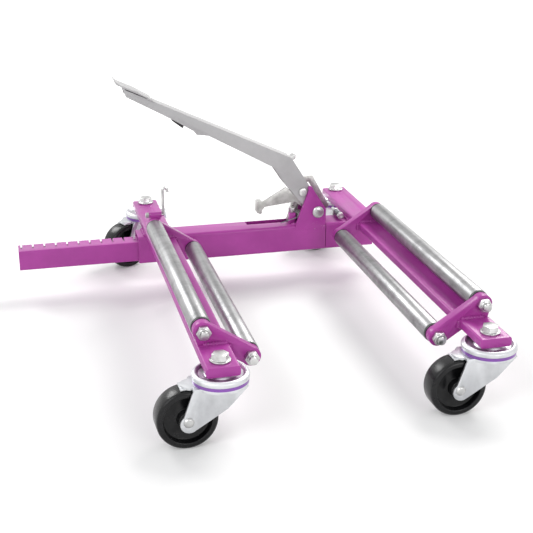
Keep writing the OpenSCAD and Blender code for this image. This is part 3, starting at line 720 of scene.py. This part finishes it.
def guard_bmesh(axle, away, side, radius, half_width, thick, start, end, steps=22):
    """A short curved lip over the wheel, a band of constant thickness between two angles in degrees."""
    bm = bmesh.new()
    up = Vector((0, 0, 1))
    profile = [(-half_width, 0), (half_width, 0), (half_width, thick), (-half_width, thick)]
    rings = []
    for i in range(steps + 1):
        a = math.radians(start + (end - start) * i / steps)
        out = away * math.cos(a) + up * math.sin(a)
        rings.append([bm.verts.new(axle + out * (radius + r) + side * w) for w, r in profile])
    for a, b in zip(rings, rings[1:]):
        for k in range(4):
            bm.faces.new((a[k], a[(k + 1) % 4], b[(k + 1) % 4], b[k]))
    bm.faces.new(rings[0])
    bm.faces.new(list(reversed(rings[-1])))
    return bm


class JACK_OT_guards(bpy.types.Operator):
    """Adds the short curved lip behind each caster fork's crown"""

    bl_idname = "jack.guards"
    bl_label = "Caster guards"

    def execute(self, context):
        for place in ("front_left", "rear_left", "front_right", "rear_right"):
            swivel = Vector(joint(place + "_swivel_turn")["pos_m"])
            axle = Vector(joint(place + "_wheel_spin")["pos_m"])
            away = Vector((axle.x - swivel.x, axle.y - swivel.y, 0)).normalized()
            side = Vector((-away.y, away.x, 0))
            wheel_low, wheel_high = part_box(place + "_wheel")
            radius = (wheel_high.z - wheel_low.z) / 2 + LIP_GAP
            bm = guard_bmesh(axle, away, side, radius, LIP_HALF_WIDTH, LIP_THICK, LIP_START, LIP_END)
            mesh = mesh_from(bm, place + "_guard")
            add_piece(place + "_guard", mesh, place + "_swivel", "zinc_plate", smooth_angle=40)
        return {"FINISHED"}


# ------------------------------------------------------------------ stage


AIM = Vector((0, 0, 0.08))
FLOOR_HALF = 9.0
FLOOR_DROP = 0.2 * MM

# name, place in metres, size, power in watts, colour
LAMPS = (
    ("Key", (1.6, 1.3, 2.2), 1.4, 56.0, (1.0, 0.99, 0.97)),
    ("Fill", (-1.9, -1.5, 1.7), 1.6, 26.0, (0.97, 0.98, 1.0)),
    ("Rim", (-1.2, 1.9, 1.6), 0.9, 22.0, (1.0, 1.0, 1.0)),
    ("Front", (0.9, -2.4, 0.9), 1.0, 12.0, (1.0, 1.0, 1.0)),
)


def place_camera(scene):
    camera = bpy.data.cameras.new("Camera")
    camera.lens, camera.sensor_width = 72.22, 36.0
    camera.clip_start, camera.clip_end = 0.05, 50.0
    eye = bpy.data.objects.new("Camera", camera)
    eye.location = (-0.2883, -1.4021, 0.6287)
    eye.rotation_euler = (math.pi / 2 - 0.35751, 0.0, -0.24014)
    scene.collection.objects.link(eye)
    scene.camera = eye


def hang_lamps(scene):
    for name, place, size, power, colour in LAMPS:
        lamp = bpy.data.lights.new(name, "AREA")
        lamp.size, lamp.energy, lamp.color = size, power, colour
        held = bpy.data.objects.new(name, lamp)
        held.location = place
        held.rotation_euler = (AIM - Vector(place)).to_track_quat("-Z", "Y").to_euler()
        scene.collection.objects.link(held)


def seen_directly(net):
    """1 for rays that show the surface itself, in view, in a reflection or through glass."""
    path = net.add("ShaderNodeLightPath")
    bounced = net.math("MAXIMUM", path.outputs["Is Glossy Ray"], path.outputs["Is Transmission Ray"])
    return net.math("MAXIMUM", path.outputs["Is Camera Ray"], bounced)


def lay_floor(scene):
    """A pale floor that takes the jack's shadow, with a painted glow on directly seen rays that grows with
    distance so it fades into the surround.
    """
    bm = bmesh.new()
    bmesh.ops.create_grid(bm, x_segments=1, y_segments=1, size=FLOOR_HALF)
    floor = bpy.data.objects.new("floor", mesh_from(bm, "floor"))
    floor.location = (0, 0, CAD_BOX[0].z - FLOOR_DROP)
    scene.collection.objects.link(floor)
    pale = bpy.data.materials.new("Pale floor")
    pale.use_nodes = True
    pale.node_tree.nodes.clear()
    net = Net(pale.node_tree)
    base = net.add("ShaderNodeBsdfDiffuse", {"Color": (0.80, 0.80, 0.80, 1)})
    place = net.add("ShaderNodeTexCoord").outputs["Object"]
    away = net.add("ShaderNodeVectorMath", {0: place}, operation="LENGTH").outputs["Value"]
    # Painted light: the floor glows where it is seen directly, weakly near the jack and more strongly further
    # away.
    lift = net.math("MULTIPLY", seen_directly(net), net.ramp(away, 0.5, 3.0, 0.16, 0.75))
    glow = net.add("ShaderNodeEmission", {"Color": (1, 1, 1, 1), "Strength": lift})
    both = net.add("ShaderNodeAddShader", {0: base.outputs[0], 1: glow.outputs[0]})
    output = net.add("ShaderNodeOutputMaterial")
    net.link(both.outputs[0], output.inputs["Surface"])
    floor.data.materials.append(pale)


def hang_surround(scene):
    """A white surround that lights the jack at half the strength it is seen with."""
    world = bpy.data.worlds.new("Studio")
    world.use_nodes = True
    world.node_tree.nodes.clear()
    net = Net(world.node_tree)
    strength = net.ramp(seen_directly(net), 0.0, 1.0, 0.50, 1.0)
    sky = net.add("ShaderNodeBackground", {"Color": (1, 1, 1, 1), "Strength": strength})
    output = net.add("ShaderNodeOutputWorld")
    net.link(sky.outputs[0], output.inputs["Surface"])
    scene.world = world


class JACK_OT_stage(bpy.types.Operator):
    """Sets the camera, the soft lights, the pale floor and the white surround"""

    bl_idname = "jack.stage"
    bl_label = "Stage"

    def execute(self, context):
        scene = context.scene
        place_camera(scene)
        hang_lamps(scene)
        lay_floor(scene)
        hang_surround(scene)
        scene.view_settings.view_transform = "Standard"
        return {"FINISHED"}


class JACK_PT_panel(bpy.types.Panel):
    """Lists the jack's operators and settings"""

    bl_label = "Roller jack"
    bl_idname = "JACK_PT_panel"
    bl_space_type = "VIEW_3D"
    bl_region_type = "UI"
    bl_category = "Jack"

    def draw(self, context):
        for key in JackSettings.__annotations__:
            self.layout.prop(context.scene.jack_settings, key)
        for operator in OPERATORS:
            self.layout.operator(operator.bl_idname)


OPERATORS = (JACK_OT_finishes, JACK_OT_welds, JACK_OT_threads, JACK_OT_springs, JACK_OT_guards, JACK_OT_stage)
CLASSES = (JackSettings, *OPERATORS, JACK_PT_panel)


def register():
    for one in CLASSES:
        bpy.utils.register_class(one)
    bpy.types.Scene.jack_settings = bpy.props.PointerProperty(type=JackSettings)


def unregister():
    del bpy.types.Scene.jack_settings
    for one in reversed(CLASSES):
        bpy.utils.unregister_class(one)


def main():
    register()
    bpy.ops.jack.finishes()
    bpy.ops.jack.welds()
    bpy.ops.jack.threads()
    bpy.ops.jack.springs()
    bpy.ops.jack.guards()
    bpy.ops.jack.stage()


if __name__ == "__main__":
    main()
